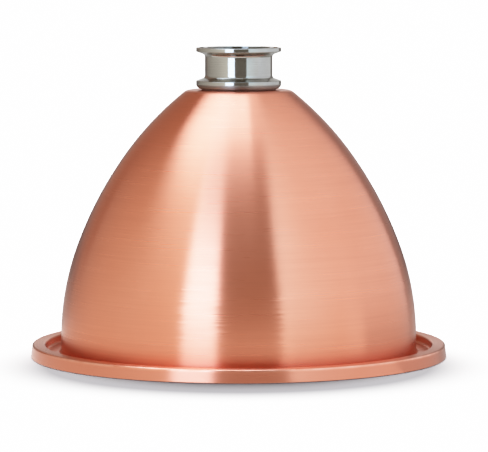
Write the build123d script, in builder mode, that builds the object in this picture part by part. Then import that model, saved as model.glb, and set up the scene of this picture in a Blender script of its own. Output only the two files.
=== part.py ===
"""Copper still dome: a spun copper head that closes a boiler, with a steel clamp ferrule in its crown.

Millimetres. +Z runs up the dome's axis, and the origin is the centre of the circle that the rim's
skirt stands on. Everything is round about Z except the thread and the lock nut's six flats.
"""

from build123d import *
import os
from math import cos, radians, tan

# Spun copper sheet. The measures are of its outside.
SHEET = 1.0
WALL_R = 134.25  # upright wall above the trough
WALL_TOP = 14.2  # the wall ends here and the side starts to lean in
SIDE_ARCS = ((200.5, 20.15), (294.0, 14.7), (240.0, 16.15))  # tangent arcs upwards: radius, turn in degrees
SHOULDER_R = 7.0  # bend from the side into the flat crown
CROWN_HOLE_R = 23.5

# Rim: a trough round the dome, then an upside-down channel that sits over the boiler's edge.
TROUGH_Z = 3.2
TROUGH_R = 146.0  # where the trough ends at the channel's inner wall
RIM_TOP = 9.5
RIM_R = 156.0
SKIRT_R = 157.0  # the skirt flares out a little on its way down
TROUGH_BEND = 2.0
RIM_BEND = 1.5
CUT_EDGE = 0.25  # rounding where the sheet was trimmed

# Seal in the channel, where the boiler's edge bears.
SEAL_INNER_R = 147.1
SEAL_OUTER_R = 154.9
SEAL_THICKNESS = 3.1
SEAL_ROUND = 0.6

# Steel ferrule for a 2 inch clamp. Its heights are above its seat.
FLANGE_R = 32.0
FLANGE_EDGE = 2.85
FLANGE_SLOPE = 20.0  # degrees, on the clamp flange and on the collar
TUBE_R = 25.4
BORE_R = 23.75
FERRULE_HEIGHT = 30.8
COLLAR_TOP = 6.0  # top of the edge of the collar that sits on the crown
COLLAR_ROUND = 3.6  # from the collar's edge down to the seat
TUBE_FILLET = 2.5
EDGE_ROUND = 0.35
BORE_STEP_TOP = 5.0  # the bore narrows below this, inside the collar
BORE_STEP_END = 1.8
FACE_GROOVE_R = 28.2  # middle of the clamp gasket's groove
FACE_GROOVE_ROUND = 1.75
FACE_GROOVE_DEPTH = 1.4

# Threaded shank and the pieces on it that clamp the ferrule to the crown.
SHANK_R = 23.0
SHANK_BORE_R = 20.5
SHANK_PAST_NUT = 3.5
SHANK_CHAMFER = 1.2
THREAD_PITCH = 2.0
THREAD_DEPTH = 1.1
THREAD_FLAT = 0.25  # width of the flat left on the thread's crest
OUTER_GASKET_R = 28.0
OUTER_GASKET = 1.0
GASKET_BORE_R = 23.2
INNER_GASKET_R = 31.0
INNER_GASKET = 1.5
GASKET_ROUND = 0.3
WASHER_R = 33.0
WASHER_BORE_R = 23.4
WASHER = 1.5
WASHER_ROUND = 0.2
NUT_FLATS = 60.0
NUT_HEIGHT = 8.0
NUT_BORE_R = 23.1
NUT_BORE_CHAMFER = 0.8
NUT_CORNER_SLOPE = 30.0  # degrees that the corners are turned off at

# Room past an edge for a tool that cuts it away.
RUN_OUT = 0.2

os.makedirs("parts", exist_ok=True)


def flat_ring(inner_r, outer_r, bottom, thickness, rounding):
    """A washer-shaped ring about Z with rounded corners."""
    with BuildPart() as ring:
        with BuildSketch(Plane.XZ) as section:
            with Locations(((inner_r + outer_r) / 2, bottom + thickness / 2)):
                Rectangle(outer_r - inner_r, thickness)
            fillet(section.vertices(), rounding)
        revolve(axis=Axis.Z)
    return ring


# Dome: one line for the outside of the sheet, from the skirt's foot in to the crown's hole.
with BuildPart() as dome_shell:
    with BuildSketch(Plane.XZ):
        with BuildLine():
            rim = FilletPolyline(
                (SKIRT_R, 0),
                (RIM_R, RIM_TOP),
                (TROUGH_R, RIM_TOP),
                (TROUGH_R, TROUGH_Z),
                (WALL_R, TROUGH_Z),
                (WALL_R, WALL_TOP),
                radius=(RIM_BEND, RIM_BEND, TROUGH_BEND, TROUGH_BEND),
            )
            end = rim @ 1
            heading = rim % 1
            slope = 90.0
            for arc_r, turn in SIDE_ARCS:
                side = JernArc(end, heading, arc_r, turn)
                end = side @ 1
                heading = side % 1
                slope -= turn
            shoulder = JernArc(end, heading, SHOULDER_R, slope)
            crown_edge = shoulder @ 1
            Line(crown_edge, (CROWN_HOLE_R, crown_edge.Y))
            offset(amount=SHEET, side=Side.LEFT)
        make_face()
        # The skirt leans, so its foot is trimmed level.
        with Locations((0, -SHEET)):
            Rectangle(2 * (SKIRT_R + SHEET), 2 * SHEET, mode=Mode.SUBTRACT)
    revolve(axis=Axis.Z)
    foot_edges = dome_shell.faces().sort_by(Axis.Z)[0].edges()
    hole_edges = dome_shell.edges().filter_by(GeomType.CIRCLE).group_by(SortBy.RADIUS)[0]
    fillet(foot_edges + hole_edges, CUT_EDGE)
dome_shell.part.label = "dome_shell"
export_step(dome_shell.part, "parts/dome_shell.step")

# Levels of the pieces stacked on both sides of the crown.
CROWN_Z = crown_edge.Y
SEAT_Z = CROWN_Z + OUTER_GASKET
INNER_GASKET_TOP = CROWN_Z - SHEET
WASHER_TOP = INNER_GASKET_TOP - INNER_GASKET
NUT_TOP = WASHER_TOP - WASHER
NUT_BOTTOM = NUT_TOP - NUT_HEIGHT
SHANK_BOTTOM = NUT_BOTTOM - SHANK_PAST_NUT

# Ferrule: clamp flange, tube, collar and threaded shank, turned in one piece.
SLOPE_RISE = (FLANGE_R - TUBE_R) * tan(radians(FLANGE_SLOPE))
COLLAR_EDGE_TOP = SEAT_Z + COLLAR_TOP
FACE_Z = SEAT_Z + FERRULE_HEIGHT
FLANGE_EDGE_LOW = FACE_Z - FLANGE_EDGE
FERRULE_OUTLINE = (
    ((FLANGE_R, SEAT_Z), COLLAR_ROUND),  # each corner, then its rounding
    ((FLANGE_R, COLLAR_EDGE_TOP), EDGE_ROUND),
    ((TUBE_R, COLLAR_EDGE_TOP + SLOPE_RISE), TUBE_FILLET),
    ((TUBE_R, FLANGE_EDGE_LOW - SLOPE_RISE), TUBE_FILLET),
    ((FLANGE_R, FLANGE_EDGE_LOW), EDGE_ROUND),
    ((FLANGE_R, FACE_Z), EDGE_ROUND),
    ((BORE_R, FACE_Z), EDGE_ROUND),
    ((BORE_R, SEAT_Z + BORE_STEP_TOP), 0),
    ((SHANK_BORE_R, SEAT_Z + BORE_STEP_END), 0),
    ((SHANK_BORE_R, SHANK_BOTTOM), 0),
    ((SHANK_R, SHANK_BOTTOM), 0),
    ((SHANK_R, SEAT_Z), 0),
)
with BuildPart() as ferrule:
    with BuildSketch(Plane.XZ):
        with BuildLine():
            FilletPolyline(
                [corner for corner, _ in FERRULE_OUTLINE],
                radius=[rounding for _, rounding in FERRULE_OUTLINE],
                close=True,
            )
        make_face()
        with Locations((FACE_GROOVE_R, FACE_Z - FACE_GROOVE_DEPTH + FACE_GROOVE_ROUND)):
            Circle(FACE_GROOVE_ROUND, mode=Mode.SUBTRACT)
    revolve(axis=Axis.Z)
    shank_end = ferrule.edges().filter_by(GeomType.CIRCLE).group_by(Axis.Z)[0]
    chamfer(shank_end.sort_by(SortBy.RADIUS)[-1], SHANK_CHAMFER)
    # The thread's groove starts one turn below the shank, so that it runs in from the end.
    thread_bottom = SHANK_BOTTOM - THREAD_PITCH
    groove_path = Helix(
        THREAD_PITCH,
        INNER_GASKET_TOP - thread_bottom,
        SHANK_R,
        center=(0, 0, thread_bottom),
        mode=Mode.PRIVATE,
    )
    with BuildSketch(Plane(groove_path @ 0, x_dir=(1, 0, 0), z_dir=groove_path % 0)):
        with BuildLine():
            Polyline(
                (-THREAD_DEPTH, 0),
                (RUN_OUT, (THREAD_PITCH - THREAD_FLAT) / 2),
                (RUN_OUT, (THREAD_FLAT - THREAD_PITCH) / 2),
                close=True,
            )
        make_face()
    sweep(path=groove_path, is_frenet=True, mode=Mode.SUBTRACT)
ferrule.part.label = "ferrule"
export_step(ferrule.part, "parts/ferrule.step")

# A gasket on each side of the crown, and the washer that spreads the nut's load.
ferrule_gasket = flat_ring(GASKET_BORE_R, OUTER_GASKET_R, CROWN_Z, OUTER_GASKET, GASKET_ROUND)
ferrule_gasket.part.label = "ferrule_gasket"
export_step(ferrule_gasket.part, "parts/ferrule_gasket.step")

inner_gasket = flat_ring(GASKET_BORE_R, INNER_GASKET_R, WASHER_TOP, INNER_GASKET, GASKET_ROUND)
inner_gasket.part.label = "inner_gasket"
export_step(inner_gasket.part, "parts/inner_gasket.step")

clamp_washer = flat_ring(WASHER_BORE_R, WASHER_R, NUT_TOP, WASHER, WASHER_ROUND)
clamp_washer.part.label = "clamp_washer"
export_step(clamp_washer.part, "parts/clamp_washer.step")

# Lock nut: a hexagon cut to a turned shape, which takes its corners off at both ends.
with BuildPart() as lock_nut:
    with BuildSketch(Plane.XY.offset(NUT_BOTTOM)):
        RegularPolygon(NUT_FLATS / 2, 6, major_radius=False)
    extrude(amount=NUT_HEIGHT)
    with BuildSketch(Plane.XZ):
        corner_r = NUT_FLATS / 2 / cos(radians(30))
        corner_drop = (corner_r + RUN_OUT - NUT_FLATS / 2) * tan(radians(NUT_CORNER_SLOPE))
        with BuildLine():
            Polyline(
                (0, NUT_BOTTOM),
                (NUT_FLATS / 2, NUT_BOTTOM),
                (corner_r + RUN_OUT, NUT_BOTTOM + corner_drop),
                (corner_r + RUN_OUT, NUT_TOP - corner_drop),
                (NUT_FLATS / 2, NUT_TOP),
                (0, NUT_TOP),
                close=True,
            )
        make_face()
    revolve(axis=Axis.Z, mode=Mode.INTERSECT)
    with Locations((0, 0, NUT_TOP)):
        Hole(NUT_BORE_R, NUT_HEIGHT)
    bore_edges = lock_nut.edges().filter_by(GeomType.CIRCLE).group_by(SortBy.RADIUS)[0]
    chamfer(bore_edges, NUT_BORE_CHAMFER)
lock_nut.part.label = "lock_nut"
export_step(lock_nut.part, "parts/lock_nut.step")

# Seal against the channel's roof.
rim_seal = flat_ring(
    SEAL_INNER_R,
    SEAL_OUTER_R,
    RIM_TOP - SHEET - SEAL_THICKNESS,
    SEAL_THICKNESS,
    SEAL_ROUND,
)
rim_seal.part.label = "rim_seal"
export_step(rim_seal.part, "parts/rim_seal.step")
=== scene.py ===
"""Looks of the copper still dome: the spun sheet, the turned ferrule and what clamps it, in metres."""

import math

import bmesh
import bpy
from mathutils import Matrix, Vector


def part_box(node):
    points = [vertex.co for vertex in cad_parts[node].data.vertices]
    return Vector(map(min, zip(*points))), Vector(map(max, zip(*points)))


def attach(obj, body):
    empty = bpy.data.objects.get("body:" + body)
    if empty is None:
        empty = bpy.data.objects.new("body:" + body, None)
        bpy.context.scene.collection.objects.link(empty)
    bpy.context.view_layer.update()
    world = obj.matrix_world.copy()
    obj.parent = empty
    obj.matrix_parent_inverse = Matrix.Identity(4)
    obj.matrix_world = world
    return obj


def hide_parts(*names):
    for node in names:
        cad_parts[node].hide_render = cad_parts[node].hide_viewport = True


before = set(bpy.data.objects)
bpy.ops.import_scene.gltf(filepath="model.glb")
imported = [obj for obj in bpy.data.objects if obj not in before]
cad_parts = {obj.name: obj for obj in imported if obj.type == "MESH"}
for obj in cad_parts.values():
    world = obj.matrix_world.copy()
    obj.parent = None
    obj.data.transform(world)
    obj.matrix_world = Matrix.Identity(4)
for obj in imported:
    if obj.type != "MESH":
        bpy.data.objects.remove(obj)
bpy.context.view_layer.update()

MM = 0.001
BODY = "root"

# ---------------- sizes

# Read from the frame.
CROWN_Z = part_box("dome_shell")[1].z
SEAT_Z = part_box("ferrule_gasket")[1].z
SHANK_END_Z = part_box("ferrule")[0].z
FACE_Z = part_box("ferrule")[1].z
FLANGE_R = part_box("ferrule")[1].x

# Spun sheet: channel and trough round the foot, then the side as three arcs and the shoulder.
SHEET = 1.0 * MM
SKIRT_R = 156.97 * MM
RIM_R = 156.0 * MM
RIM_TOP = 9.5 * MM
TROUGH_R = 146.0 * MM
TROUGH_Z = 3.2 * MM
WALL_R = 134.25 * MM
WALL_TOP = 14.2 * MM
SIDE_ARCS = ((200.5 * MM, 20.15), (294.0 * MM, 14.7), (240.0 * MM, 16.15))  # radius, turn in degrees
SHOULDER_R = 7.0 * MM
SHOULDER_TURN = 90 - sum(turn for _, turn in SIDE_ARCS)
CROWN_HOLE_R = 23.5 * MM
RIM_BEND = 1.5 * MM
TROUGH_BEND = 2.0 * MM
CUT_EDGE = 0.25 * MM

# Turned ferrule, its heights above the seat.
FLANGE_EDGE = 2.85 * MM
TUBE_R = 25.4 * MM
BORE_R = 23.75 * MM
SLOPE_RISE = (FLANGE_R - TUBE_R) * math.tan(math.radians(20))
COLLAR_TOP = 6.0 * MM
COLLAR_ROUND = 3.6 * MM
TUBE_FILLET = 2.5 * MM
EDGE_ROUND = 0.35 * MM
GROOVE_R = 28.2 * MM
GROOVE_HALF = 1.7 * MM
GROOVE_DEPTH = 1.4 * MM
GROOVE_ROUND = 0.9 * MM
GROOVE_LIP = 0.15 * MM
BORE_STEP_TOP = 5.0 * MM
BORE_STEP_END = 1.8 * MM
SHANK_R = 23.0 * MM
SHANK_BORE_R = 20.5 * MM
THREAD_PITCH = 2.0 * MM
THREAD_DEPTH = 1.1 * MM
THREAD_FLAT = 0.25 * MM
NUT_BORE_R = 23.1 * MM
NUT_BORE_CHAMFER = 0.8 * MM
NUT_EDGE = 0.2 * MM
GASKET_HOLE_R = 23.2 * MM
GASKET_ROUND = 0.3 * MM
WASHER_HOLE_R = 23.4 * MM
WASHER_ROUND = 0.2 * MM
SEAL_INNER_R = 147.1 * MM
SEAL_ROUND = 0.6 * MM

# Brushed copper: how dense its lines are, how far they go, where they are coarse, where the channel is
# browner, and the painted shade and highlight.
# A pair runs from where an effect starts to where it is full.
BRUSH_FINE = 1500
BRUSH_BROAD = 210
BRUSH_COARSE = 1700
BRUSH_FADE = 1.2 * MM
BRUSH_DARKEST = 0.24
BRUSH_RELIEF = 0.012
BRUSHED_SMOOTH = 0.27
BRUSHED_ROUGH = 0.31
COARSE_STARTS = (14 * MM, 26 * MM)
COARSE_ENDS = (80 * MM, 44 * MM)
LEAN_LEAST = 0.012
LEAN_MOST = 0.1
GRAIN_TURN = 0.25  # the highlight runs up the side, across the brush lines
LINE_RISE = 0.01 * MM  # how high the lines stand, on copper and on steel
# Low down inside the rim the copper is mixed towards a darker, browner tone.
CHANNEL_DOWN = (9 * MM, 4 * MM)
CHANNEL_IN = (147.5 * MM, 145 * MM)
CHANNEL_DARK_MOST = 0.2
# Painted shade: the skirt's outside is darkened.
SKIRT_FACE = (155.9 * MM, 156.3 * MM)
SKIRT_SHADE_MOST = 0.75
# Painted highlight: the rim's outer corner is made paler, in patches.
RIM_GLINT_OUT = (154.4 * MM, 155.6 * MM)
RIM_GLINT_UP = (7.4 * MM, 8.8 * MM)

# Turned steel and moulded rubber.
TOOL_LINES = 1500
RING_DARKEST = 0.4
SATIN_ROUGH = 0.55
SATIN_FADE = 0.5 * MM
RUBBER_GRAIN = 2500
RUBBER_RISE = 0.02 * MM
RUBBER_GLOW = 0.3
CLEAR_GLOW_DEPTH = 1 * MM

# Colours are linear red, green, blue.
COPPER_RED = (0.82, 0.36, 0.242, 1)
COPPER_PALE = (0.84, 0.385, 0.265, 1)
COPPER_LINE = (0.62, 0.275, 0.19, 1)
# Darker, browner copper for the channel.
COPPER_CHANNEL_DARK = (0.68, 0.29, 0.18, 1)
# Painted shade for the skirt's outside.
COPPER_SKIRT_SHADE = (0.69, 0.305, 0.215, 1)
# Painted highlight for the rim's outer corner.
COPPER_RIM_GLINT = (0.90, 0.50, 0.38, 1)
STEEL_CLEAN = (0.48, 0.455, 0.41, 1)
STEEL_SMEARED = (0.43, 0.405, 0.365, 1)
STEEL_DULL = (0.40, 0.385, 0.355, 1)
STEEL_RING = (0.36, 0.345, 0.31, 1)
RUBBER_DARK = (0.34, 0.23, 0.19, 1)
RUBBER_DARK_DUST = (0.42, 0.32, 0.28, 1)
RUBBER_CLEAR = (0.72, 0.71, 0.67, 1)
RUBBER_CLEAR_DUST = (0.62, 0.60, 0.55, 1)
BOARD_WHITE = (0.86, 0.86, 0.86, 1)
BOARD_UNDER_WHITE = (0.84, 0.84, 0.845, 1)
BOARD_SHADED = (0.27, 0.27, 0.28, 1)
WHITE = (1, 1, 1, 1)

# Studio light, the floor's shade, the camera, and the film that the light falls on.
ROOM_GLOW = 0.6
BACKDROP_GLOW = 4.0
BACK_LIGHT = 9.6
BACK_LIGHT_ANGLE = 20  # degrees, as is its tilt
BACK_LIGHT_TILT = -28
SHADE_INNER_R = 142 * MM
SHADE_OUTER_R = 194 * MM
SHADE_FORWARD = 60 * MM
FLOOR_R = 30
CAMERA_PLACE = (0, -2.493, 0.3267)
CAMERA_AIM = (0.004, 0, 0.098)
CAMERA_FILM = 36  # millimetres, as is its lens
CAMERA_LENS = 244.5
FILM_WHITE = 4
FILM_CONTRAST = 1.6
FILM_STEPS = 16

# Where the panels in front and at the sides start and end. Round the dome it is in degrees, with 0
# towards the camera and positive to its right.
STRIP_LEFT = -35.8
STRIP_RIGHT = -13.5
FLAG_RIGHT = 26.5
LEFT_CARD_BACK = -140
RIGHT_CARD_X = 1.1
RIGHT_LOW_CARD_X = 1.09
RIGHT_CARD_FRONT = -2.36
RIGHT_CARD_MIDDLE = -0.4
RIGHT_CARD_BACK = 1.4
WHOLE_FLOOR = (-3, 3)

# How finely the turned shapes are cut.
DOME_FACETS = 256
FITTING_FACETS = 160
THREAD_FACETS = 96
SHOULDER_STEPS = 10
SIDE_STEP = 2.6 * MM
BEND_STEP = 12  # degrees
GUARD = 0.4 * MM  # a short stretch beside each bend keeps the shading of the flats flat
WELD = 0.005 * MM
SAME_POINT = 0.01 * MM
SAME_RING = 0.05 * MM


# ---------------- turning on the lathe


def start_section(name, r, z):
    """A new piece that is one point of the XZ plane, where its section starts."""
    bpy.ops.object.select_all(action="DESELECT")
    bpy.ops.mesh.primitive_plane_add(size=SHEET, location=(0, 0, 0))
    piece = bpy.context.object
    piece.name = name
    piece.data.name = name
    bpy.ops.object.mode_set(mode="EDIT")
    bpy.ops.mesh.select_mode(type="VERT")
    bpy.ops.mesh.merge(type="CENTER")
    bpy.ops.transform.translate(value=(r, 0, z))
    return piece


def add_point(r, z):
    """One more point in the section, where another line starts."""
    bpy.ops.mesh.select_all(action="DESELECT")
    bpy.ops.mesh.primitive_plane_add(size=SHEET, location=(0, 0, 0))
    bpy.ops.mesh.merge(type="CENTER")
    bpy.ops.transform.translate(value=(r, 0, z))


def straight(start, end):
    """The section runs straight from start to end, with a cut near both."""
    run = end - start
    guard = min(GUARD / run.length, 0.25)
    for part in (guard, 1 - 2 * guard, guard):
        bpy.ops.mesh.extrude_region_move(
            TRANSFORM_OT_translate={"value": (run.x * part, 0, run.y * part)}
        )


def bend(end, along, radius, degrees, steps):
    """The section bends, to the left where degrees is positive. Gives its new end and direction."""
    side = math.copysign(radius, degrees)
    centre = end + Vector((-along.y, along.x)) * side
    bpy.ops.mesh.spin(
        steps=steps,
        angle=math.radians(degrees),
        center=(centre.x, 0, centre.y),
        axis=(0, 1, 0),
    )
    turn = Matrix.Rotation(math.radians(degrees), 2)
    return centre + turn @ (end - centre), turn @ along


def draw_outline(corners):
    """Draws on from the first corner to the last. Each is (r, z, rounding); the ends have none."""
    points = [Vector(corner[:2]) for corner in corners]
    end = points[0]
    for here, after, (_, _, rounding) in zip(points[1:-1], points[2:], corners[1:-1]):
        along = (here - end).normalized()
        leaving = (after - here).normalized()
        degrees = -math.degrees(along.angle_signed(leaving))
        cut_back = rounding * math.tan(math.radians(abs(degrees)) / 2)
        straight(end, here - along * cut_back)
        end = here - along * cut_back
        if rounding:
            steps = max(3, round(abs(degrees) / BEND_STEP))
            end, along = bend(end, along, rounding, degrees, steps)
    straight(end, points[-1])
    return points[-1], (points[-1] - end).normalized()


def turn_on_lathe(piece, facets):
    """Spins the drawn section round Z, welds the seam and turns the faces outwards."""
    bpy.ops.mesh.select_all(action="SELECT")
    bpy.ops.mesh.remove_doubles(threshold=WELD)
    bpy.ops.mesh.select_all(action="SELECT")
    bpy.ops.mesh.spin(steps=facets, angle=math.tau, center=(0, 0, 0), axis=(0, 0, 1))
    bpy.ops.mesh.select_all(action="SELECT")
    bpy.ops.mesh.remove_doubles(threshold=WELD)
    bpy.ops.mesh.normals_make_consistent(inside=False)
    bpy.ops.object.mode_set(mode="OBJECT")
    bpy.ops.object.shade_smooth()


# ---------------- pieces


def select_rings(piece, rings):
    """Selects the edges that run round Z at each (r, z) place."""
    bpy.ops.object.mode_set(mode="EDIT")
    bpy.ops.mesh.select_all(action="DESELECT")
    bpy.ops.mesh.select_mode(type="EDGE")
    mesh = bmesh.from_edit_mesh(piece.data)
    for edge in mesh.edges:
        ends = [(vert.co.xy.length, vert.co.z) for vert in edge.verts]
        edge.select = any(
            all(math.dist(end, ring) < SAME_RING for end in ends) for ring in rings
        )
    bmesh.update_edit_mesh(piece.data)


def apply_modifier(piece, name, kind, **settings):
    """Adds a modifier, sets it and applies it."""
    bpy.ops.object.select_all(action="DESELECT")
    piece.select_set(True)
    bpy.context.view_layer.objects.active = piece
    modifier = piece.modifiers.new(name, kind)
    for setting, value in settings.items():
        setattr(modifier, setting, value)
    bpy.ops.object.modifier_apply(modifier=name)


def draw_sheet_line(depth):
    """The sheet's section line at a depth under its outside, from the skirt's foot to the crown's hole."""
    lean = math.atan2(SKIRT_R - RIM_R, RIM_TOP)
    level = depth / math.cos(lean)  # depth across the leaning skirt, measured level
    top_shift = depth * math.tan(lean)
    end, along = draw_outline(
        (
            (SKIRT_R - level, 0, 0),
            (RIM_R - level + top_shift, RIM_TOP - depth, RIM_BEND - depth),
            (TROUGH_R + depth, RIM_TOP - depth, RIM_BEND - depth),
            (TROUGH_R + depth, TROUGH_Z - depth, TROUGH_BEND + depth),
            (WALL_R - depth, TROUGH_Z - depth, TROUGH_BEND + depth),
            (WALL_R - depth, WALL_TOP, 0),
        )
    )
    for radius, degrees in SIDE_ARCS:
        steps = round(radius * math.radians(degrees) / SIDE_STEP)
        end, along = bend(end, along, radius - depth, degrees, steps)
    end, along = bend(end, along, SHOULDER_R - depth, SHOULDER_TURN, SHOULDER_STEPS)
    straight(end, Vector((CROWN_HOLE_R, end.y)))
    return SKIRT_R - level


def spin_dome():
    """The dome's sheet: both its faces are drawn, joined at the two cut edges and turned."""
    piece = start_section("spun_dome", SKIRT_R, 0)
    draw_sheet_line(0)
    bpy.ops.mesh.select_all(action="DESELECT")
    add_point(SKIRT_R - SHEET / math.cos(math.atan2(SKIRT_R - RIM_R, RIM_TOP)), 0)
    foot_inner_r = draw_sheet_line(SHEET)
    cuts = (
        ((SKIRT_R, 0), (foot_inner_r, 0)),
        ((CROWN_HOLE_R, CROWN_Z), (CROWN_HOLE_R, CROWN_Z - SHEET)),
    )
    for cut in cuts:
        bpy.ops.mesh.select_all(action="DESELECT")
        mesh = bmesh.from_edit_mesh(piece.data)
        for vert in mesh.verts:
            vert.select = any(math.dist((vert.co.x, vert.co.z), end) < SAME_POINT for end in cut)
        bpy.ops.mesh.edge_face_add()
    turn_on_lathe(piece, DOME_FACETS)
    select_rings(piece, [end for cut in cuts for end in cut])
    bpy.ops.mesh.bevel(offset=CUT_EDGE, segments=3, affect="EDGES")
    bpy.ops.object.mode_set(mode="OBJECT")
    return piece


def turn_ferrule():
    """The clamp ferrule: flange, tube, collar, stepped bore and the shank at its thread's root."""
    collar_z = SEAT_Z + COLLAR_TOP
    flange_z = FACE_Z - FLANGE_EDGE
    root_r = SHANK_R - THREAD_DEPTH
    piece = start_section("clamp_ferrule", TUBE_R, (collar_z + flange_z) / 2)
    draw_outline(
        (
            (TUBE_R, (collar_z + flange_z) / 2, 0),
            (TUBE_R, flange_z - SLOPE_RISE, TUBE_FILLET),
            (FLANGE_R, flange_z, EDGE_ROUND),
            (FLANGE_R, FACE_Z, EDGE_ROUND),
            (GROOVE_R + GROOVE_HALF, FACE_Z, GROOVE_LIP),
            (GROOVE_R + GROOVE_HALF / 2, FACE_Z - GROOVE_DEPTH, GROOVE_ROUND),
            (GROOVE_R - GROOVE_HALF / 2, FACE_Z - GROOVE_DEPTH, GROOVE_ROUND),
            (GROOVE_R - GROOVE_HALF, FACE_Z, GROOVE_LIP),
            (BORE_R, FACE_Z, EDGE_ROUND),
            (BORE_R, SEAT_Z + BORE_STEP_TOP, EDGE_ROUND),
            (SHANK_BORE_R, SEAT_Z + BORE_STEP_END, EDGE_ROUND),
            (SHANK_BORE_R, SHANK_END_Z, EDGE_ROUND),
            (root_r, SHANK_END_Z, EDGE_ROUND),
            (root_r, SEAT_Z, 0),
            (FLANGE_R, SEAT_Z, COLLAR_ROUND),
            (FLANGE_R, collar_z, EDGE_ROUND),
            (TUBE_R, collar_z + SLOPE_RISE, TUBE_FILLET),
            (TUBE_R, (collar_z + flange_z) / 2, 0),
        )
    )
    turn_on_lathe(piece, FITTING_FACETS)
    return piece


def cut_thread(ferrule):
    """Cuts the shank's thread with a V-shaped tool that winds up it from below its end."""
    half = (THREAD_PITCH - THREAD_FLAT) / 2
    start_z = SHANK_END_Z - THREAD_PITCH
    tool = start_section("thread_tool", SHANK_R - THREAD_DEPTH, start_z)
    for dr, dz in ((THREAD_DEPTH + GUARD, half), (0, -2 * half), (-THREAD_DEPTH - GUARD, half)):
        bpy.ops.mesh.extrude_region_move(TRANSFORM_OT_translate={"value": (dr, 0, dz)})
    bpy.ops.mesh.select_all(action="SELECT")
    bpy.ops.mesh.remove_doubles(threshold=WELD)
    bpy.ops.object.mode_set(mode="OBJECT")
    apply_modifier(
        tool,
        "wind",
        "SCREW",
        axis="Z",
        screw_offset=THREAD_PITCH,
        iterations=round((CROWN_Z - start_z) / THREAD_PITCH),
        steps=THREAD_FACETS,
        render_steps=THREAD_FACETS,
        use_merge_vertices=False,
    )
    bpy.ops.object.mode_set(mode="EDIT")
    bpy.ops.mesh.select_all(action="SELECT")
    bpy.ops.mesh.fill_holes(sides=3)
    bpy.ops.mesh.select_all(action="SELECT")
    bpy.ops.mesh.normals_make_consistent(inside=False)
    bpy.ops.object.mode_set(mode="OBJECT")
    apply_modifier(ferrule, "thread", "BOOLEAN", operation="DIFFERENCE", object=tool)
    bpy.data.objects.remove(tool)


def turn_ring(name, node, inner_r, rounding, facets=FITTING_FACETS):
    """A flat ring with rounded corners, in the place of a ring-shaped node."""
    low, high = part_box(node)
    middle = (inner_r + high.x) / 2
    piece = start_section(name, middle, low.z)
    draw_outline(
        (
            (middle, low.z, 0),
            (high.x, low.z, rounding),
            (high.x, high.z, rounding),
            (inner_r, high.z, rounding),
            (inner_r, low.z, rounding),
            (middle, low.z, 0),
        )
    )
    turn_on_lathe(piece, facets)
    return piece


def cut_lock_nut():
    """The lock nut: a hexagon bar cut to a turned blank that has its bore and its chamfered corners."""
    low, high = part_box("lock_nut")
    flat_r = high.y
    corner_r = high.x
    out_r = corner_r + GUARD
    drop = (out_r - flat_r) * math.tan(math.radians(30))
    blank = start_section("nut_blank", flat_r, low.z)
    draw_outline(
        (
            (flat_r, low.z, 0),
            (out_r, low.z + drop, 0),
            (out_r, high.z - drop, 0),
            (flat_r, high.z, 0),
            (NUT_BORE_R + NUT_BORE_CHAMFER, high.z, 0),
            (NUT_BORE_R, high.z - NUT_BORE_CHAMFER, 0),
            (NUT_BORE_R, low.z + NUT_BORE_CHAMFER, 0),
            (NUT_BORE_R + NUT_BORE_CHAMFER, low.z, 0),
            (flat_r, low.z, 0),
        )
    )
    turn_on_lathe(blank, FITTING_FACETS)
    bpy.ops.object.select_all(action="DESELECT")
    bpy.ops.mesh.primitive_cylinder_add(
        vertices=6,
        radius=corner_r,
        depth=high.z - low.z + 2 * GUARD,
        location=(0, 0, (low.z + high.z) / 2),
        rotation=(0, 0, math.radians(30)),
    )
    nut = bpy.context.object
    nut.name = "hexagon_lock_nut"
    nut.data.name = nut.name
    bpy.ops.object.transform_apply(location=True, rotation=True, scale=True)
    apply_modifier(nut, "blank", "BOOLEAN", operation="INTERSECT", object=blank)
    bpy.data.objects.remove(blank)
    apply_modifier(
        nut,
        "broken_edges",
        "BEVEL",
        width=NUT_EDGE,
        segments=2,
        limit_method="ANGLE",
        angle_limit=math.radians(25),
    )
    bpy.ops.object.shade_smooth_by_angle(angle=math.radians(35))
    return nut


# ---------------- materials

COLUMN = 230  # how far apart the nodes stand on the page
ROW = 330


def blank_page(kind, name):
    """A new material or world with nothing on its page yet, its nodes and its links."""
    made = kind.new(name)
    made.use_nodes = True
    made.node_tree.nodes.clear()
    return made, made.node_tree.nodes, made.node_tree.links


def arrange(groups):
    """Lays a material's nodes out in rows, each row in its own frame."""
    for row, (frame_node, members) in enumerate(groups):
        for column, node in enumerate(members):
            node.parent = frame_node
            node.location = (column * COLUMN, -row * ROW)


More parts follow.
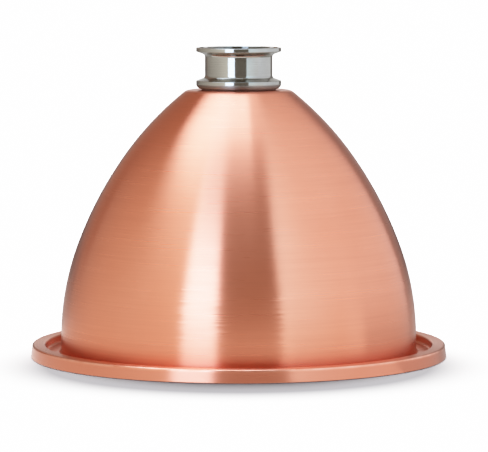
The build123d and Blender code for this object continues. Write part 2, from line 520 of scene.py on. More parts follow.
def spun_copper(name):
    """Bare copper brushed in rings: browner in the channel, with a painted shade on the skirt and a
    painted highlight on the rim's corner.
    """
    material, nodes, links = blank_page(bpy.data.materials, name)

    place_frame = nodes.new("NodeFrame")
    place_frame.label = "Place on the lathe"
    place = nodes.new("ShaderNodeTexCoord")
    place.label = "Place on the dome"
    level = nodes.new("ShaderNodeVectorMath")
    level.label = "Drop the height"
    radius = nodes.new("ShaderNodeVectorMath")
    radius.label = "Distance from the spindle"
    spoke = nodes.new("ShaderNodeVectorMath")
    spoke.label = "Way out from the spindle"
    height = nodes.new("ShaderNodeSeparateXYZ")
    height.label = "Height on the dome"
    fade = nodes.new("ShaderNodeVectorMath")
    fade.label = "How soon a line fades round the dome"
    fade_parts = nodes.new("ShaderNodeSeparateXYZ")
    fade_parts.label = "Way round, in two parts"
    lathe = nodes.new("ShaderNodeCombineXYZ")
    lathe.label = "Place as the brush sees it"

    line_frame = nodes.new("NodeFrame")
    line_frame.label = "Brush lines"
    fine = nodes.new("ShaderNodeTexNoise")
    fine.label = "Fine brush lines"
    broad = nodes.new("ShaderNodeTexNoise")
    broad.label = "Broad brush bands"
    line_mix = nodes.new("ShaderNodeMix")
    line_mix.label = "Lines within bands"
    line_dark = nodes.new("ShaderNodeMapRange")
    line_dark.label = "How dark a line is"
    rough = nodes.new("ShaderNodeMapRange")
    rough.label = "Rougher and smoother lines"

    lean_frame = nodes.new("NodeFrame")
    lean_frame.label = "Lines that lean and fray the highlight"
    scratch = nodes.new("ShaderNodeTexNoise")
    scratch.label = "Coarser lines low on the side"
    foot_end = nodes.new("ShaderNodeMapRange")
    foot_end.label = "Coarse lines start above the foot"
    crown_end = nodes.new("ShaderNodeMapRange")
    crown_end.label = "Coarse lines end part way up"
    coarse = nodes.new("ShaderNodeMath")
    coarse.label = "Where the coarse lines are"
    lean_most = nodes.new("ShaderNodeMapRange")
    lean_most.label = "How far a line can lean"
    lean_side = nodes.new("ShaderNodeMath")
    lean_side.label = "Leans left or right"
    lean_by = nodes.new("ShaderNodeMath")
    lean_by.label = "How far this line leans"
    way_round = nodes.new("ShaderNodeVectorMath")
    way_round.label = "Way round the dome"
    lean = nodes.new("ShaderNodeVectorMath")
    lean.label = "Lean along the line"
    surface = nodes.new("ShaderNodeNewGeometry")
    surface.label = "Sheet's own normal"
    leaning = nodes.new("ShaderNodeVectorMath")
    leaning.label = "Normal with the lean"
    leaning_unit = nodes.new("ShaderNodeVectorMath")
    leaning_unit.label = "Back to length one"
    relief = nodes.new("ShaderNodeBump")
    relief.label = "Depth of the lines"

    colour_frame = nodes.new("NodeFrame")
    colour_frame.label = "Colour of the sheet"
    mottle = nodes.new("ShaderNodeTexNoise")
    mottle.label = "Faint mottle of bare copper"
    mottle_range = nodes.new("ShaderNodeMapRange")
    mottle_range.label = "How strong the mottle is"
    tone = nodes.new("ShaderNodeMix")
    tone.label = "Redder and paler copper"
    lines = nodes.new("ShaderNodeMix")
    lines.label = "Lines a little darker"

    # Browner copper in the channel, painted shade on the skirt, painted highlight on the rim's corner.
    channel_skirt_rim_frame = nodes.new("NodeFrame")
    channel_skirt_rim_frame.label = "Browner channel, painted shade on the skirt, painted highlight on the rim"
    low_down = nodes.new("ShaderNodeMapRange")
    low_down.label = "Low down, below the side's foot"
    inside = nodes.new("ShaderNodeMapRange")
    inside.label = "Inside the rim"
    in_channel = nodes.new("ShaderNodeMath")
    in_channel.label = "In the channel"
    # Darker, browner copper low in the channel.
    tint = nodes.new("ShaderNodeMix")
    tint.label = "Brown tarnish in the channel"
    # Painted shade: the skirt's outside is darkened.
    skirt_face = nodes.new("ShaderNodeMapRange")
    skirt_face.label = "On the skirt's outside"
    skirt_shade = nodes.new("ShaderNodeMix")
    skirt_shade.label = "Painted shade on the skirt's outside"
    # Painted highlight on the rim's outer corner, broken into patches.
    rim_near = nodes.new("ShaderNodeMapRange")
    rim_near.label = "Near the rim's outer edge"
    rim_high = nodes.new("ShaderNodeMapRange")
    rim_high.label = "Near the rim's top"
    rim_corner = nodes.new("ShaderNodeMath")
    rim_corner.label = "On the rim's corner"
    patches = nodes.new("ShaderNodeTexNoise")
    patches.label = "Glint in patches"
    patch_range = nodes.new("ShaderNodeMapRange")
    patch_range.label = "How patchy the glint is"
    glinting = nodes.new("ShaderNodeMath")
    glinting.label = "Where the rim is rubbed"
    bright = nodes.new("ShaderNodeMix")
    bright.label = "Paler where it is rubbed"

    finish_frame = nodes.new("NodeFrame")
    finish_frame.label = "Finish"
    grain = nodes.new("ShaderNodeTangent")
    grain.label = "Brushed round the spindle"
    shader = nodes.new("ShaderNodeBsdfPrincipled")
    shader.label = "Brushed copper"
    out = nodes.new("ShaderNodeOutputMaterial")
    out.label = "Dome surface"

    arrange(
        (
            (place_frame, (place, level, radius, spoke, height, fade, fade_parts, lathe)),
            (line_frame, (fine, broad, line_mix, line_dark, rough)),
            (
                lean_frame,
                (scratch, foot_end, crown_end, coarse, lean_most, lean_side, lean_by)
                + (way_round, lean, surface, leaning, leaning_unit, relief),
            ),
            (colour_frame, (mottle, mottle_range, tone, lines)),
            (
                channel_skirt_rim_frame,
                (low_down, inside, in_channel, tint, skirt_face, skirt_shade)
                + (rim_near, rim_high, rim_corner, patches, patch_range, glinting, bright),
            ),
            (finish_frame, (grain, shader, out)),
        )
    )

    level.operation = "MULTIPLY"
    level.inputs[1].default_value = (1, 1, 0)
    radius.operation = "LENGTH"
    spoke.operation = "NORMALIZE"
    fade.operation = "SCALE"
    fade.inputs["Scale"].default_value = BRUSH_FADE
    fine.noise_dimensions = "4D"
    fine.inputs["Scale"].default_value = BRUSH_FINE
    fine.inputs["Detail"].default_value = 3
    fine.inputs["Roughness"].default_value = 0.6
    broad.noise_dimensions = "4D"
    broad.inputs["Scale"].default_value = BRUSH_BROAD
    broad.inputs["Detail"].default_value = 2
    line_mix.inputs["Factor"].default_value = 0.25
    line_dark.inputs["From Min"].default_value = 0.38
    line_dark.inputs["From Max"].default_value = 0.72
    line_dark.inputs["To Max"].default_value = BRUSH_DARKEST
    rough.inputs["From Min"].default_value = 0.35
    rough.inputs["From Max"].default_value = 0.65
    rough.inputs["To Min"].default_value = BRUSHED_SMOOTH
    rough.inputs["To Max"].default_value = BRUSHED_ROUGH
    scratch.noise_dimensions = "4D"
    scratch.inputs["Scale"].default_value = BRUSH_COARSE
    scratch.inputs["Detail"].default_value = 1
    scratch.inputs["Roughness"].default_value = 0.7
    foot_end.inputs["From Min"].default_value = COARSE_STARTS[0]
    foot_end.inputs["From Max"].default_value = COARSE_STARTS[1]
    crown_end.inputs["From Min"].default_value = COARSE_ENDS[0]
    crown_end.inputs["From Max"].default_value = COARSE_ENDS[1]
    coarse.operation = "MULTIPLY"
    lean_most.inputs["To Min"].default_value = LEAN_LEAST
    lean_most.inputs["To Max"].default_value = LEAN_MOST
    lean_side.operation = "SUBTRACT"
    lean_side.inputs[1].default_value = 0.5
    lean_by.operation = "MULTIPLY"
    way_round.operation = "CROSS_PRODUCT"
    way_round.inputs[1].default_value = (0, 0, 1)
    lean.operation = "SCALE"
    leaning.operation = "ADD"
    leaning_unit.operation = "NORMALIZE"
    relief.inputs["Strength"].default_value = BRUSH_RELIEF
    relief.inputs["Distance"].default_value = LINE_RISE
    mottle.inputs["Scale"].default_value = 16
    mottle.inputs["Detail"].default_value = 4
    mottle_range.inputs["From Min"].default_value = 0.3
    mottle_range.inputs["From Max"].default_value = 0.7
    tone.data_type = "RGBA"
    tone.inputs["A"].default_value = COPPER_RED
    tone.inputs["B"].default_value = COPPER_PALE
    lines.data_type = "RGBA"
    lines.inputs["B"].default_value = COPPER_LINE
    low_down.inputs["From Min"].default_value = CHANNEL_DOWN[0]
    low_down.inputs["From Max"].default_value = CHANNEL_DOWN[1]
    inside.inputs["From Min"].default_value = CHANNEL_IN[0]
    inside.inputs["From Max"].default_value = CHANNEL_IN[1]
    inside.inputs["To Max"].default_value = CHANNEL_DARK_MOST
    in_channel.operation = "MULTIPLY"
    tint.data_type = "RGBA"
    tint.inputs["B"].default_value = COPPER_CHANNEL_DARK
    # Painted shade on the skirt's outside.
    skirt_face.inputs["From Min"].default_value = SKIRT_FACE[0]
    skirt_face.inputs["From Max"].default_value = SKIRT_FACE[1]
    skirt_face.inputs["To Max"].default_value = SKIRT_SHADE_MOST
    skirt_shade.data_type = "RGBA"
    skirt_shade.inputs["B"].default_value = COPPER_SKIRT_SHADE
    # Painted highlight on the rim's outer corner.
    rim_near.inputs["From Min"].default_value = RIM_GLINT_OUT[0]
    rim_near.inputs["From Max"].default_value = RIM_GLINT_OUT[1]
    rim_high.inputs["From Min"].default_value = RIM_GLINT_UP[0]
    rim_high.inputs["From Max"].default_value = RIM_GLINT_UP[1]
    rim_corner.operation = "MULTIPLY"
    patches.inputs["Scale"].default_value = 60
    patches.inputs["Detail"].default_value = 3
    patch_range.inputs["From Min"].default_value = 0.35
    patch_range.inputs["From Max"].default_value = 0.65
    glinting.operation = "MULTIPLY"
    bright.data_type = "RGBA"
    bright.inputs["B"].default_value = COPPER_RIM_GLINT
    grain.direction_type = "RADIAL"
    grain.axis = "Z"
    shader.inputs["Metallic"].default_value = 1
    shader.inputs["Anisotropic"].default_value = 0.95
    shader.inputs["Anisotropic Rotation"].default_value = GRAIN_TURN

    links.new(place.outputs["Object"], level.inputs[0])
    links.new(level.outputs["Vector"], radius.inputs[0])
    links.new(level.outputs["Vector"], spoke.inputs[0])
    links.new(place.outputs["Object"], height.inputs["Vector"])
    links.new(spoke.outputs["Vector"], fade.inputs[0])
    links.new(fade.outputs["Vector"], fade_parts.inputs["Vector"])
    links.new(radius.outputs["Value"], lathe.inputs["X"])
    links.new(height.outputs["Z"], lathe.inputs["Y"])
    links.new(fade_parts.outputs["X"], lathe.inputs["Z"])
    links.new(lathe.outputs["Vector"], fine.inputs["Vector"])
    links.new(fade_parts.outputs["Y"], fine.inputs["W"])
    links.new(lathe.outputs["Vector"], broad.inputs["Vector"])
    links.new(fade_parts.outputs["Y"], broad.inputs["W"])
    links.new(fine.outputs["Fac"], line_mix.inputs["A"])
    links.new(broad.outputs["Fac"], line_mix.inputs["B"])
    links.new(line_mix.outputs["Result"], line_dark.inputs["Value"])
    links.new(line_mix.outputs["Result"], rough.inputs["Value"])

    links.new(lathe.outputs["Vector"], scratch.inputs["Vector"])
    links.new(fade_parts.outputs["Y"], scratch.inputs["W"])
    links.new(height.outputs["Z"], foot_end.inputs["Value"])
    links.new(height.outputs["Z"], crown_end.inputs["Value"])
    links.new(foot_end.outputs["Result"], coarse.inputs[0])
    links.new(crown_end.outputs["Result"], coarse.inputs[1])
    links.new(coarse.outputs["Value"], lean_most.inputs["Value"])
    links.new(scratch.outputs["Fac"], lean_side.inputs[0])
    links.new(lean_side.outputs["Value"], lean_by.inputs[0])
    links.new(lean_most.outputs["Result"], lean_by.inputs[1])
    links.new(spoke.outputs["Vector"], way_round.inputs[0])
    links.new(way_round.outputs["Vector"], lean.inputs[0])
    links.new(lean_by.outputs["Value"], lean.inputs["Scale"])
    links.new(surface.outputs["Normal"], leaning.inputs[0])
    links.new(lean.outputs["Vector"], leaning.inputs[1])
    links.new(leaning.outputs["Vector"], leaning_unit.inputs[0])
    links.new(leaning_unit.outputs["Vector"], relief.inputs["Normal"])
    links.new(fine.outputs["Fac"], relief.inputs["Height"])

    links.new(place.outputs["Object"], mottle.inputs["Vector"])
    links.new(mottle.outputs["Fac"], mottle_range.inputs["Value"])
    links.new(mottle_range.outputs["Result"], tone.inputs["Factor"])
    links.new(tone.outputs["Result"], lines.inputs["A"])
    links.new(line_dark.outputs["Result"], lines.inputs["Factor"])

    # Darker, browner copper low in the channel.
    links.new(height.outputs["Z"], low_down.inputs["Value"])
    links.new(radius.outputs["Value"], inside.inputs["Value"])
    links.new(low_down.outputs["Result"], in_channel.inputs[0])
    links.new(inside.outputs["Result"], in_channel.inputs[1])
    links.new(lines.outputs["Result"], tint.inputs["A"])
    links.new(in_channel.outputs["Value"], tint.inputs["Factor"])
    # Painted highlight on the rim's outer corner.
    links.new(radius.outputs["Value"], rim_near.inputs["Value"])
    links.new(height.outputs["Z"], rim_high.inputs["Value"])
    links.new(rim_near.outputs["Result"], rim_corner.inputs[0])
    links.new(rim_high.outputs["Result"], rim_corner.inputs[1])
    links.new(place.outputs["Object"], patches.inputs["Vector"])
    links.new(patches.outputs["Fac"], patch_range.inputs["Value"])
    links.new(rim_corner.outputs["Value"], glinting.inputs[0])
    links.new(patch_range.outputs["Result"], glinting.inputs[1])
    # Painted shade on the skirt's outside.
    links.new(radius.outputs["Value"], skirt_face.inputs["Value"])
    links.new(skirt_face.outputs["Result"], skirt_shade.inputs["Factor"])
    links.new(tint.outputs["Result"], skirt_shade.inputs["A"])
    links.new(skirt_shade.outputs["Result"], bright.inputs["A"])
    links.new(glinting.outputs["Value"], bright.inputs["Factor"])

    links.new(bright.outputs["Result"], shader.inputs["Base Color"])
    links.new(rough.outputs["Result"], shader.inputs["Roughness"])
    links.new(relief.outputs["Normal"], shader.inputs["Normal"])
    links.new(grain.outputs["Tangent"], shader.inputs["Tangent"])
    links.new(shader.outputs["BSDF"], out.inputs["Surface"])
    return material


def turned_steel(name, smeared, smooth_rough, coarse_rough, line_depth, satin_below=0):
    """Stainless steel turned on a lathe: tool lines round Z, a faint smear, and satin below a height."""
    material, nodes, links = blank_page(bpy.data.materials, name)

    place_frame = nodes.new("NodeFrame")
    place_frame.label = "Place on the lathe"
    place = nodes.new("ShaderNodeTexCoord")
    place.label = "Place on the fitting"
    level = nodes.new("ShaderNodeVectorMath")
    level.label = "Drop the height"
    radius = nodes.new("ShaderNodeVectorMath")
    radius.label = "Distance from the spindle"
    height = nodes.new("ShaderNodeSeparateXYZ")
    height.label = "Height on the fitting"
    lathe = nodes.new("ShaderNodeCombineXYZ")
    lathe.label = "Place as the tool sees it"

    line_frame = nodes.new("NodeFrame")
    line_frame.label = "Tool lines"
    tool_lines = nodes.new("ShaderNodeTexNoise")
    tool_lines.label = "Rings left by the tool"
    rough = nodes.new("ShaderNodeMapRange")
    rough.label = "Rougher and smoother rings"
    low_part = nodes.new("ShaderNodeMapRange")
    low_part.label = "Below the polished part"
    satin = nodes.new("ShaderNodeMix")
    satin.label = "Left satin there"
    relief = nodes.new("ShaderNodeBump")
    relief.label = "Depth of the rings"

    colour_frame = nodes.new("NodeFrame")
    colour_frame.label = "Colour and handling marks"
    smear = nodes.new("ShaderNodeTexNoise")
    smear.label = "Faint smears"
    smear_range = nodes.new("ShaderNodeMapRange")
    smear_range.label = "How strong the smears are"
    tone = nodes.new("ShaderNodeMix")
    tone.label = "Clean and smeared steel"
    ring_tone = nodes.new("ShaderNodeMapRange")
    ring_tone.label = "How dark a ring is"
    rings = nodes.new("ShaderNodeMix")
    rings.label = "Rings a little darker"

    finish_frame = nodes.new("NodeFrame")
    finish_frame.label = "Finish"
    grain = nodes.new("ShaderNodeTangent")
    grain.label = "Turned round the spindle"
    shader = nodes.new("ShaderNodeBsdfPrincipled")
    shader.label = "Turned stainless"
    out = nodes.new("ShaderNodeOutputMaterial")
    out.label = "Fitting surface"

    arrange(
        (
            (place_frame, (place, level, radius, height, lathe)),
            (line_frame, (tool_lines, rough, low_part, satin, relief)),
            (colour_frame, (smear, smear_range, tone, ring_tone, rings)),
            (finish_frame, (grain, shader, out)),
        )
    )

    level.operation = "MULTIPLY"
    level.inputs[1].default_value = (1, 1, 0)
    radius.operation = "LENGTH"
    tool_lines.inputs["Scale"].default_value = TOOL_LINES
    tool_lines.inputs["Detail"].default_value = 2
    tool_lines.inputs["Roughness"].default_value = 0.6
    rough.inputs["From Min"].default_value = 0.3
    rough.inputs["From Max"].default_value = 0.7
    rough.inputs["To Min"].default_value = smooth_rough
    rough.inputs["To Max"].default_value = coarse_rough
    low_part.inputs["From Min"].default_value = satin_below
    low_part.inputs["From Max"].default_value = satin_below - SATIN_FADE
    satin.inputs["B"].default_value = SATIN_ROUGH
    relief.inputs["Strength"].default_value = line_depth
    relief.inputs["Distance"].default_value = LINE_RISE
    smear.inputs["Scale"].default_value = 55
    smear.inputs["Detail"].default_value = 4
    smear_range.inputs["From Min"].default_value = 0.35
    smear_range.inputs["From Max"].default_value = 0.7
    tone.data_type = "RGBA"
    tone.inputs["A"].default_value = STEEL_CLEAN
    tone.inputs["B"].default_value = smeared
    ring_tone.inputs["From Min"].default_value = 0.45
    ring_tone.inputs["From Max"].default_value = 0.7
    ring_tone.inputs["To Max"].default_value = RING_DARKEST
    rings.data_type = "RGBA"
    rings.inputs["B"].default_value = STEEL_RING
    grain.direction_type = "RADIAL"
    grain.axis = "Z"
    shader.inputs["Metallic"].default_value = 1
    shader.inputs["Anisotropic"].default_value = 0.9
    shader.inputs["Anisotropic Rotation"].default_value = GRAIN_TURN

    links.new(place.outputs["Object"], level.inputs[0])
    links.new(level.outputs["Vector"], radius.inputs[0])
    links.new(place.outputs["Object"], height.inputs["Vector"])
    links.new(radius.outputs["Value"], lathe.inputs["X"])
    links.new(height.outputs["Z"], lathe.inputs["Y"])
    links.new(lathe.outputs["Vector"], tool_lines.inputs["Vector"])
    links.new(tool_lines.outputs["Fac"], rough.inputs["Value"])
    links.new(tool_lines.outputs["Fac"], relief.inputs["Height"])
    links.new(place.outputs["Object"], smear.inputs["Vector"])
    links.new(smear.outputs["Fac"], smear_range.inputs["Value"])
    links.new(smear_range.outputs["Result"], tone.inputs["Factor"])
    links.new(tone.outputs["Result"], rings.inputs["A"])
    links.new(tool_lines.outputs["Fac"], ring_tone.inputs["Value"])
    links.new(ring_tone.outputs["Result"], rings.inputs["Factor"])
    links.new(height.outputs["Z"], low_part.inputs["Value"])
    links.new(low_part.outputs["Result"], satin.inputs["Factor"])
    links.new(rough.outputs["Result"], satin.inputs["A"])
    links.new(rings.outputs["Result"], shader.inputs["Base Color"])
    links.new(satin.outputs["Result"], shader.inputs["Roughness"])
    links.new(relief.outputs["Normal"], shader.inputs["Normal"])
    links.new(grain.outputs["Tangent"], shader.inputs["Tangent"])
    links.new(shader.outputs["BSDF"], out.inputs["Surface"])
    return material


def moulded_rubber(name, clean, dusty, glow_depth):
    """Silicone rubber from a mould: a fine matt grain, dust in patches, and light that sinks in."""
    material, nodes, links = blank_page(bpy.data.materials, name)

    colour_frame = nodes.new("NodeFrame")
    colour_frame.label = "Colour and dust"
    place = nodes.new("ShaderNodeTexCoord")
    place.label = "Place on the rubber"
    patches = nodes.new("ShaderNodeTexNoise")
    patches.label = "Dust in patches"
    patch_range = nodes.new("ShaderNodeMapRange")
    patch_range.label = "How dusty a patch is"
    tone = nodes.new("ShaderNodeMix")
    tone.label = "Clean and dusty rubber"

    grain_frame = nodes.new("NodeFrame")
    grain_frame.label = "Matt grain of the mould"
    grain = nodes.new("ShaderNodeTexNoise")
    grain.label = "Grain"
    rough = nodes.new("ShaderNodeMapRange")
    rough.label = "Duller and shinier grain"
    relief = nodes.new("ShaderNodeBump")
    relief.label = "Depth of the grain"

    finish_frame = nodes.new("NodeFrame")
    finish_frame.label = "Finish"
    shader = nodes.new("ShaderNodeBsdfPrincipled")
    shader.label = "Silicone rubber"
    out = nodes.new("ShaderNodeOutputMaterial")
    out.label = "Rubber surface"

    arrange(
        (
            (colour_frame, (place, patches, patch_range, tone)),
            (grain_frame, (grain, rough, relief)),
            (finish_frame, (shader, out)),
        )
    )

    patches.inputs["Scale"].default_value = 90
    patches.inputs["Detail"].default_value = 4
    patch_range.inputs["From Min"].default_value = 0.35
    patch_range.inputs["From Max"].default_value = 0.7
    tone.data_type = "RGBA"
    tone.inputs["A"].default_value = clean
    tone.inputs["B"].default_value = dusty
    grain.inputs["Scale"].default_value = RUBBER_GRAIN
    grain.inputs["Detail"].default_value = 2
    rough.inputs["From Min"].default_value = 0.3
    rough.inputs["From Max"].default_value = 0.7
    rough.inputs["To Min"].default_value = 0.45
    rough.inputs["To Max"].default_value = 0.65
    relief.inputs["Strength"].default_value = 0.3
    relief.inputs["Distance"].default_value = RUBBER_RISE
    shader.inputs["Subsurface Weight"].default_value = RUBBER_GLOW if glow_depth else 0
    shader.inputs["Subsurface Scale"].default_value = glow_depth

    links.new(place.outputs["Object"], patches.inputs["Vector"])
    links.new(patches.outputs["Fac"], patch_range.inputs["Value"])
    links.new(patch_range.outputs["Result"], tone.inputs["Factor"])
    links.new(place.outputs["Object"], grain.inputs["Vector"])
    links.new(grain.outputs["Fac"], rough.inputs["Value"])
    links.new(grain.outputs["Fac"], relief.inputs["Height"])
    links.new(tone.outputs["Result"], shader.inputs["Base Color"])
    links.new(rough.outputs["Result"], shader.inputs["Roughness"])
    links.new(relief.outputs["Normal"], shader.inputs["Normal"])
    links.new(shader.outputs["BSDF"], out.inputs["Surface"])
    return material


def pale_floor(name):
    """Matt white board with the faintest unevenness, and a soft shade where the dome stands."""
    material, nodes, links = blank_page(bpy.data.materials, name)

    shade_frame = nodes.new("NodeFrame")
    shade_frame.label = "Shade close round the foot"
    place = nodes.new("ShaderNodeTexCoord")
    place.label = "Place on the floor"
    forward = nodes.new("ShaderNodeVectorMath")
    forward.label = "The shade lies a little forward"
    radius = nodes.new("ShaderNodeVectorMath")
    radius.label = "Distance from the shade's middle"
    shade = nodes.new("ShaderNodeMapRange")
    shade.label = "How the shade fades outwards"

    board_frame = nodes.new("NodeFrame")
    board_frame.label = "White board"
    cloud = nodes.new("ShaderNodeTexNoise")
    cloud.label = "Faint unevenness"
    tone = nodes.new("ShaderNodeMix")
    tone.label = "White and a shade under"
    shaded = nodes.new("ShaderNodeMix")
    shaded.label = "Board with the shade on it"
    shader = nodes.new("ShaderNodeBsdfDiffuse")
    shader.label = "Matt board"
    out = nodes.new("ShaderNodeOutputMaterial")
    out.label = "Floor surface"

    arrange(
        (
            (shade_frame, (place, forward, radius, shade)),
            (board_frame, (cloud, tone, shaded, shader, out)),
        )
    )

    forward.operation = "ADD"
    forward.inputs[1].default_value = (0, SHADE_FORWARD, 0)
    radius.operation = "LENGTH"
    shade.inputs["From Min"].default_value = SHADE_OUTER_R
    shade.inputs["From Max"].default_value = SHADE_INNER_R
    cloud.inputs["Scale"].default_value = 3
    tone.data_type = "RGBA"
    tone.inputs["A"].default_value = BOARD_WHITE
    tone.inputs["B"].default_value = BOARD_UNDER_WHITE
    shaded.data_type = "RGBA"
    shaded.inputs["B"].default_value = BOARD_SHADED

    links.new(place.outputs["Object"], forward.inputs[0])
    links.new(forward.outputs["Vector"], radius.inputs[0])
    links.new(radius.outputs["Value"], shade.inputs["Value"])
    links.new(place.outputs["Object"], cloud.inputs["Vector"])
    links.new(cloud.outputs["Fac"], tone.inputs["Factor"])
    links.new(tone.outputs["Result"], shaded.inputs["A"])
    links.new(shade.outputs["Result"], shaded.inputs["Factor"])
    links.new(shaded.outputs["Result"], shader.inputs["Color"])
    links.new(shader.outputs["BSDF"], out.inputs["Surface"])
    return material


def panel_glow(name, glow_a, glow_b):
    """The glow of a light panel, which runs evenly from one side to the other."""
    material, nodes, links = blank_page(bpy.data.materials, name)

    glow_frame = nodes.new("NodeFrame")
    glow_frame.label = "Even glow"
    place = nodes.new("ShaderNodeTexCoord")
    place.label = "Place on the panel"
    across = nodes.new("ShaderNodeSeparateXYZ")
    across.label = "Way across the panel"
    blend = nodes.new("ShaderNodeMix")
    blend.label = "From one side's glow to the other's"
    glow = nodes.new("ShaderNodeEmission")
    glow.label = "Panel glow"
    out = nodes.new("ShaderNodeOutputMaterial")
    out.label = "Panel surface"

    arrange(((glow_frame, (place, across, blend, glow, out)),))

    blend.data_type = "RGBA"
    blend.inputs["A"].default_value = (*glow_a, 1)
    blend.inputs["B"].default_value = (*glow_b, 1)

    links.new(place.outputs["UV"], across.inputs["Vector"])
    links.new(across.outputs["X"], blend.inputs["Factor"])
    links.new(blend.outputs["Result"], glow.inputs["Color"])
    links.new(glow.outputs["Emission"], out.inputs["Surface"])
    return material


def white_surround(name):
    """A world that shows white behind the object and gives it a dim, even light."""
    world, nodes, links = blank_page(bpy.data.worlds, name)

    surround_frame = nodes.new("NodeFrame")
    surround_frame.label = "White backdrop and dim room"
    seen = nodes.new("ShaderNodeLightPath")
    seen.label = "Seen straight on"
    room = nodes.new("ShaderNodeBackground")
    room.label = "Dim room"
    backdrop = nodes.new("ShaderNodeBackground")
    backdrop.label = "White backdrop"
    choice = nodes.new("ShaderNodeMixShader")
    choice.label = "Backdrop behind, room around"
    out = nodes.new("ShaderNodeOutputWorld")
    out.label = "Surround"

    arrange(((surround_frame, (seen, room, backdrop, choice, out)),))

    room.inputs["Color"].default_value = WHITE
    room.inputs["Strength"].default_value = ROOM_GLOW
    backdrop.inputs["Color"].default_value = WHITE
    backdrop.inputs["Strength"].default_value = BACKDROP_GLOW

    links.new(seen.outputs["Is Camera Ray"], choice.inputs["Fac"])
    links.new(room.outputs["Background"], choice.inputs[1])
    links.new(backdrop.outputs["Background"], choice.inputs[2])
    links.new(choice.outputs["Shader"], out.inputs["Surface"])
    return world


# ---------------- assembly


def fit(piece, node, material):
    """Gives a piece its finish, and puts it in its node's place on the body."""
    piece.data.materials.clear()
    piece.data.materials.append(material)
    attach(piece, BODY)
    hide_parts(node)


copper = spun_copper("spun_copper")
polished = turned_steel(
    "turned_steel",
    STEEL_SMEARED,
    smooth_rough=0.12,
    coarse_rough=0.2,
    line_depth=0.12,
    satin_below=SEAT_Z + COLLAR_ROUND,
)
plain_turned = turned_steel(
    "plain_turned_steel", STEEL_DULL, smooth_rough=0.18, coarse_rough=0.32, line_depth=0.4
)
dark_rubber = moulded_rubber("dark_silicone", RUBBER_DARK, RUBBER_DARK_DUST, glow_depth=0)
clear_rubber = moulded_rubber("clear_silicone", RUBBER_CLEAR, RUBBER_CLEAR_DUST, CLEAR_GLOW_DEPTH)

ferrule = turn_ferrule()
cut_thread(ferrule)
collar_gasket = turn_ring("collar_gasket", "ferrule_gasket", GASKET_HOLE_R, GASKET_ROUND)
crown_gasket = turn_ring("crown_gasket", "inner_gasket", GASKET_HOLE_R, GASKET_ROUND)
load_washer = turn_ring("load_washer", "clamp_washer", WASHER_HOLE_R, WASHER_ROUND)
channel_seal = turn_ring("channel_seal", "rim_seal", SEAL_INNER_R, SEAL_ROUND, DOME_FACETS)
fit(spin_dome(), "dome_shell", copper)
fit(ferrule, "ferrule", polished)
fit(collar_gasket, "ferrule_gasket", dark_rubber)
fit(crown_gasket, "inner_gasket", clear_rubber)
fit(load_washer, "clamp_washer", plain_turned)
fit(cut_lock_nut(), "lock_nut", plain_turned)
fit(channel_seal, "rim_seal", clear_rubber)


# ---------------- studio


def reflector(name, corners, glow_a, glow_b=None):
    """A glowing panel that shows only in the metal. Corners go foot a, foot b, top a, top b."""
    glow_b = glow_b or glow_a
    bpy.ops.object.select_all(action="DESELECT")
    bpy.ops.mesh.primitive_plane_add(size=1)
    panel = bpy.context.object
    panel.name = name
    for vert, corner in zip(panel.data.vertices, corners):
        vert.co = corner
    panel.data.materials.append(panel_glow(name, glow_a, glow_b))
    panel.visible_camera = False
    panel.visible_diffuse = False
    panel.visible_transmission = False
    panel.visible_shadow = False


def wall(azimuth_a, azimuth_b, distance, high_a, high_b=None, low=0):
    """Corners of an upright panel between two azimuths, level at the top unless it has a high_b."""
    middle = math.radians((azimuth_a + azimuth_b) / 2)
    feet = []
    for azimuth in (azimuth_a, azimuth_b):
        turn = math.radians(azimuth)
        reach = distance / math.cos(turn - middle)
        feet.append((reach * math.sin(turn), -reach * math.cos(turn)))
    (xa, ya), (xb, yb) = feet
    return ((xa, ya, low), (xb, yb, low), (xa, ya, high_a), (xb, yb, high_b or high_a))


def side_wall(x, y_a, y_b, high_a, high_b):
    """Corners of an upright panel square to X that stands on the floor."""
    return ((x, y_a, 0), (x, y_b, 0), (x, y_a, high_a), (x, y_b, high_b))


def floor_panel(azimuth_a, azimuth_b, near, far):
    """Corners of a panel that lies on the floor in front, between two azimuths."""
    slant_a = math.tan(math.radians(azimuth_a))
    slant_b = math.tan(math.radians(azimuth_b))
    return tuple((reach * slant, -reach, 0) for reach in (near, far) for slant in (slant_a, slant_b))


def ceiling(across, along, z):
    """Corners of a level panel that runs from one x to another across, and from one y to another along."""
    (x_a, x_b), (y_a, y_b) = across, along
    return ((x_a, y_a, z), (x_b, y_a, z), (x_a, y_b, z), (x_b, y_b, z))


# In front: the strip makes the bright band, and the flag the dark stripe beside it.
reflector("strip_softbox", wall(STRIP_LEFT, STRIP_RIGHT, distance=1.6, high_a=1.5), (4.6, 5.8, 7.7))
reflector("front_flag", wall(STRIP_RIGHT, FLAG_RIGHT, distance=1.5, high_a=3.4), (0.6, 0.57, 0.53))
reflector("front_low_flag", wall(STRIP_RIGHT, FLAG_RIGHT, distance=1.45, high_a=0.1), (0.22, 0.21, 0.21))

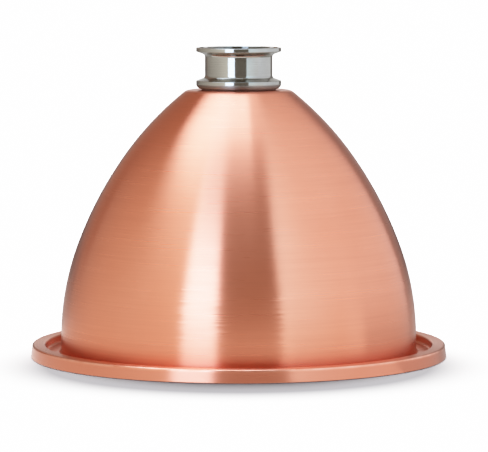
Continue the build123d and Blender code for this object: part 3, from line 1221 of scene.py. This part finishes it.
# At the sides: the cards have one glow at their first edge and another at their second.
reflector(
    "left_card",
    wall(LEFT_CARD_BACK, STRIP_LEFT, distance=0.9, high_a=0.3, high_b=2.0),
    (0.74, 0.71, 0.68),
    (1.76, 1.78, 1.76),
)
reflector("upper_left_flag", wall(-160, -100, distance=1.2, high_a=1.9, low=0.2), (0.71, 0.57, 0.5))
reflector(
    "right_front_card",
    side_wall(RIGHT_CARD_X, RIGHT_CARD_FRONT, RIGHT_CARD_MIDDLE, high_a=2.0, high_b=3.3),
    (2.22, 2.9, 3.5),
    (1.8, 1.95, 2.2),
)
reflector(
    "right_low_card",
    side_wall(RIGHT_LOW_CARD_X, RIGHT_CARD_FRONT, RIGHT_CARD_MIDDLE, high_a=0.11, high_b=0.11),
    (1.62, 1.58, 1.52),
    (1.6, 1.56, 1.5),
)
reflector(
    "right_back_card",
    side_wall(RIGHT_CARD_X, RIGHT_CARD_MIDDLE, RIGHT_CARD_BACK, high_a=3.3, high_b=3.3),
    (1.8, 1.95, 2.2),
    (1.5, 1.55, 1.65),
)

# Overhead.
reflector("overhead_softbox", ceiling((-1.08, 0.23), (-0.52, 0.5), z=1.5), (4.45, 5.3, 6.5))
reflector("ceiling_card", ceiling((0.6, 0.95), (-1.0, 1.6), z=3.3), (2.9, 3.2, 3.7))

# Behind.
reflector("back_right_flag", wall(140, 168, distance=1.4, high_a=1.0), (0.6, 0.58, 0.58))
reflector("back_left_flag", wall(-168, -140, distance=1.4, high_a=1.0), (0.5, 0.48, 0.48))
reflector("back_softbox", wall(168, 192, distance=1.4, high_a=1.4), (1.1, 1.1, 1.1))

# Underfoot and low down behind: the metal doesn't see the floor itself, so these stand in for it.
reflector("floor_glow", ceiling(WHOLE_FLOOR, WHOLE_FLOOR, z=-0.5 * MM), (1.55, 1.55, 1.55))
reflector("near_floor_card", floor_panel(STRIP_RIGHT, FLAG_RIGHT, near=0.2, far=0.7), (2.1, 2.1, 2.1))
reflector("far_floor_flag", floor_panel(STRIP_RIGHT, FLAG_RIGHT, near=0.85, far=1.5), (0.2, 0.19, 0.19))
reflector("back_low_flag", wall(150, 210, distance=1.15, high_a=0.09), (0.25, 0.24, 0.24))
reflector("back_right_floor_flag", ceiling((-0.05, 3), (-0.1, 3), z=-0.3 * MM), (0.9, 0.9, 0.9))
reflector("back_left_floor_flag", ceiling((-3, -0.05), (0.18, 3), z=-0.3 * MM), (0.9, 0.9, 0.9))

bpy.context.scene.world = white_surround("studio")

bpy.ops.object.select_all(action="DESELECT")
bpy.ops.mesh.primitive_circle_add(vertices=64, radius=FLOOR_R, fill_type="NGON")
floor = bpy.context.object
floor.name = "floor"
floor.data.materials.append(pale_floor("pale_floor"))
floor.visible_glossy = False

sun_data = bpy.data.lights.new("back_light", "SUN")
sun_data.energy = BACK_LIGHT
sun_data.angle = math.radians(BACK_LIGHT_ANGLE)
sun = bpy.data.objects.new("back_light", sun_data)
sun.rotation_euler = (math.radians(BACK_LIGHT_TILT), 0, 0)
sun.visible_glossy = False
bpy.context.scene.collection.objects.link(sun)

camera_data = bpy.data.cameras.new("camera")
camera_data.sensor_width = CAMERA_FILM
camera_data.lens = CAMERA_LENS
camera = bpy.data.objects.new("camera", camera_data)
camera.location = CAMERA_PLACE
looking = Vector(CAMERA_AIM) - Vector(CAMERA_PLACE)
camera.rotation_euler = looking.to_track_quat("-Z", "Y").to_euler()
bpy.context.scene.collection.objects.link(camera)
bpy.context.scene.camera = camera

view = bpy.context.scene.view_settings
view.view_transform = "Standard"
view.use_curve_mapping = True
view.curve_mapping.white_level = (FILM_WHITE, FILM_WHITE, FILM_WHITE)
film = view.curve_mapping.curves[3]
for step in range(1, FILM_STEPS):
    share = (step / FILM_STEPS) ** 2
    film.points.new(share, 1 - math.exp(-((share * FILM_WHITE) ** FILM_CONTRAST)))
view.curve_mapping.update()
